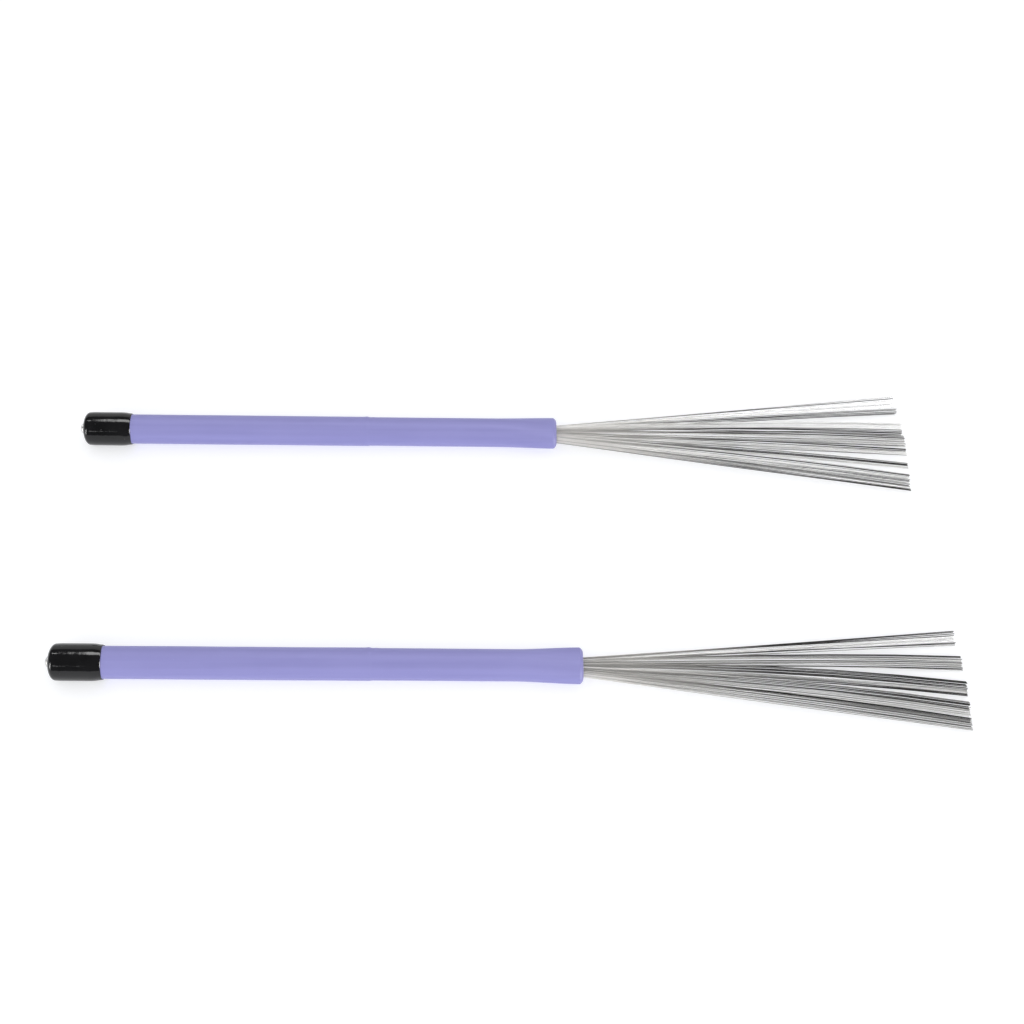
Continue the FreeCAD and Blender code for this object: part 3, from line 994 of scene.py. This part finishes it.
TUFTS = {}
for side in SIDES:
    TUFTS[side] = [name for name in frame["nodes"] if name.startswith(f"{side}_tuft_")]
LINES = {node: tuft_lines(node, side) for side in SIDES for node in TUFTS[side]}
for node, lines in LINES.items():
    print(f"{node}: {len(lines)} wires, tips {lines[0][-1].y / MM:.1f} to {lines[-1][-1].y / MM:.1f} mm")

# %% [markdown]
# Halfway along the fan the wires share its width evenly, and only near their tips do
# they gather into tufts with gaps between. So each wire heads for an even place first,
# and a steep power of the distance draws it into its tuft's place at the end. The wires
# of a tuft are put in order as seen from the camera's height, so that a tuft is closed
# and does not fall apart into strips.

# %% Work out each wire's course
WIRE_BOW = 0.00022
WIRE_BOW_UP = 0.00010
TUFT_SCATTER = 0.3
GATHER_POWER = 3.0
BEND_LENGTH = 0.003
BOW_SKEW = (0.8, 1.25)
# where a wire's rings stand, as shares of its length
COURSE = (0, 0.02, 0.06, 0.13, 0.25, 0.4, 0.55, 0.7, 0.85, 1.0)
SEEN_ASIDE = math.sin(CAMERA_DOWN)
SEEN_ABOVE = math.cos(CAMERA_DOWN)
shuffle = random.Random(32)


def seen(place):
    """How far up a point appears from the camera's height."""
    return place.y * SEEN_ASIDE + place.z * SEEN_ABOVE


def from_edge(height, z):
    """The y of a point that appears at a height."""
    return (height - z * SEEN_ABOVE) / SEEN_ASIDE


def fan_courses(side):
    """For each tuft, its wires as (root, bend, even place, tip), top of the fan first."""
    tufts = sorted(TUFTS[side], key=lambda node: -LINES[node][0][-1].y)
    heights = [seen(line[-1]) for node in tufts for line in LINES[node]]
    low, high = min(heights), max(heights)
    total, count = len(heights), 0
    courses = {}
    for node in tufts:
        lines = sorted(LINES[node], key=lambda line: -seen(line[0]))
        own = [seen(line[-1]) for line in lines]
        top, bottom = max(own), min(own)
        courses[node] = []
        for number, line in enumerate(lines):
            tip = line[-1].copy()
            place = (number + shuffle.uniform(-TUFT_SCATTER, TUFT_SCATTER)) / (len(lines) - 1)
            even = from_edge(high + (low - high) * (count + 0.5) / total, tip.z)
            tip.y = from_edge(top + (bottom - top) * max(0.0, min(1.0, place)), tip.z)
            courses[node].append((line[0], Vector((ferrule_end, line[0].y, line[0].z)), even, tip))
            count += 1
    return courses


def wire_places(root, bend, even, tip):
    """Where the middle of a wire runs, from its root to its tip."""
    aside = shuffle.gauss(0, WIRE_BOW)
    upward = shuffle.gauss(0, WIRE_BOW_UP)
    skew = shuffle.uniform(*BOW_SKEW)
    start = BEND_LENGTH / (tip.x - bend.x)
    places = [root]
    for share in COURSE:
        spread = share - start * (1 - math.exp(-share / start))
        spread /= 1 - start * (1 - math.exp(-1 / start))
        bow = math.sin(math.pi * share ** skew) ** 2
        x = bend.x + (tip.x - bend.x) * share
        y = bend.y + (even - bend.y) * spread + (tip.y - even) * share ** GATHER_POWER
        z = bend.z + (tip.z - bend.z) * spread
        places.append(Vector((x, y + aside * bow, z + upward * bow)))
    return places


COURSES = {side: fan_courses(side) for side in SIDES}
first_wire = wire_places(*COURSES["front"]["front_tuft_1"][0])
print("first wire, mm", [tuple(round(value / MM, 1) for value in place) for place in first_wire])

# %% [markdown]
# Each wire is then drawn out ring by ring along its course, with every ring turned to
# face the way the wire goes. Six sides are enough for a third of a millimetre. A wire's
# shade is drawn at random but keeps about half of its neighbour's, so light and dark
# wires come in small groups. The front brush's wires get a lower range, a painted shade
# that makes it the darker of the two.

# %% Draw the wires out
WIRE_RADIUS = 0.000165
WIRE_SIDES = 6
# the dullest and the brightest wire of each brush; the front brush's lower range is painted shade
BRUSH_TONES_WITH_PAINTED_SHADE = {"front": (-0.19, 0.82), "back": (-0.05, 0.99)}
SHADE_KEPT = 0.55
SHADE_DRAW = (-1.0, 2.0)


def add_wire(bm, places, along, strand, shade):
    """Draws one wire out along its places, and marks where along it each point is."""
    headings = [(after - before).normalized() for before, after in zip(places, places[1:])]
    headings.append(headings[-1])
    turn = headings[0].to_track_quat("Z", "Y").to_matrix().to_4x4()
    ring = bmesh.ops.create_circle(bm, segments=WIRE_SIDES, radius=WIRE_RADIUS, matrix=turn)["verts"]
    bmesh.ops.translate(bm, vec=places[0], verts=ring)
    edges = list({edge for vertex in ring for edge in vertex.link_edges})
    bmesh.ops.contextual_create(bm, geom=edges)
    total = (places[-1] - places[0]).length
    for number, place in enumerate(places):
        if number:
            made = bmesh.ops.extrude_edge_only(bm, edges=edges)["geom"]
            ring = [item for item in made if isinstance(item, bmesh.types.BMVert)]
            edges = [item for item in made if isinstance(item, bmesh.types.BMEdge)]
            lean = headings[number - 1].rotation_difference(headings[number]).to_matrix()
            bmesh.ops.translate(bm, vec=place - places[number - 1], verts=ring)
            bmesh.ops.rotate(bm, cent=place, matrix=lean, verts=ring)
        for vertex in ring:
            vertex[along] = (place - places[0]).length / total
            vertex[strand] = shade
    bmesh.ops.contextual_create(bm, geom=edges)


def make_tuft(node, side):
    """All the wires of one tuft as one piece."""
    bm = bmesh.new()
    along = bm.verts.layers.float.new("along")
    strand = bm.verts.layers.float.new("strand")
    dullest, brightest = BRUSH_TONES_WITH_PAINTED_SHADE[side]
    shade = 0.5
    for course in COURSES[side][node]:
        shade = SHADE_KEPT * shade + (1 - SHADE_KEPT) * shuffle.uniform(*SHADE_DRAW)
        held = max(0.0, min(1.0, shade))
        add_wire(bm, wire_places(*course), along, strand, dullest + (brightest - dullest) * held)
    bmesh.ops.recalc_face_normals(bm, faces=bm.faces)
    return finish_piece(bm, f"{node}_fine_wires", side, f"{node}_wires", "wire_steel",
                        [node], sharp=75, softened=False)


for side in SIDES:
    for node in TUFTS[side]:
        make_tuft(node, side)

# %% [markdown]
# ## Pieces kept from the CAD model
#
# The tube, the bush, the seal, the bumper, the ferrule and the guide are plain turned
# parts, mostly hidden inside the handle. Their CAD shapes are right already, so they
# only need their finishes. A CAD node takes one when the material is assigned to the
# slots of its object.

# %% Give the kept pieces their finishes
KEPT = {"handle_tube": "tube_aluminium", "rod_bush": "bush_nylon", "rod_seal": "black_rubber",
        "bumper": "black_rubber", "ferrule": "ferrule_brass", "guide": "bush_nylon"}
for side in SIDES:
    for piece, slot in KEPT.items():
        node = frame["nodes"][f"{side}_{piece}"]
        if not node.data.materials:
            node.data.materials.append(FINISHES[slot])
        for place in node.material_slots:
            place.link = "OBJECT"
            place.material = FINISHES[slot]
print("kept", sorted(KEPT))
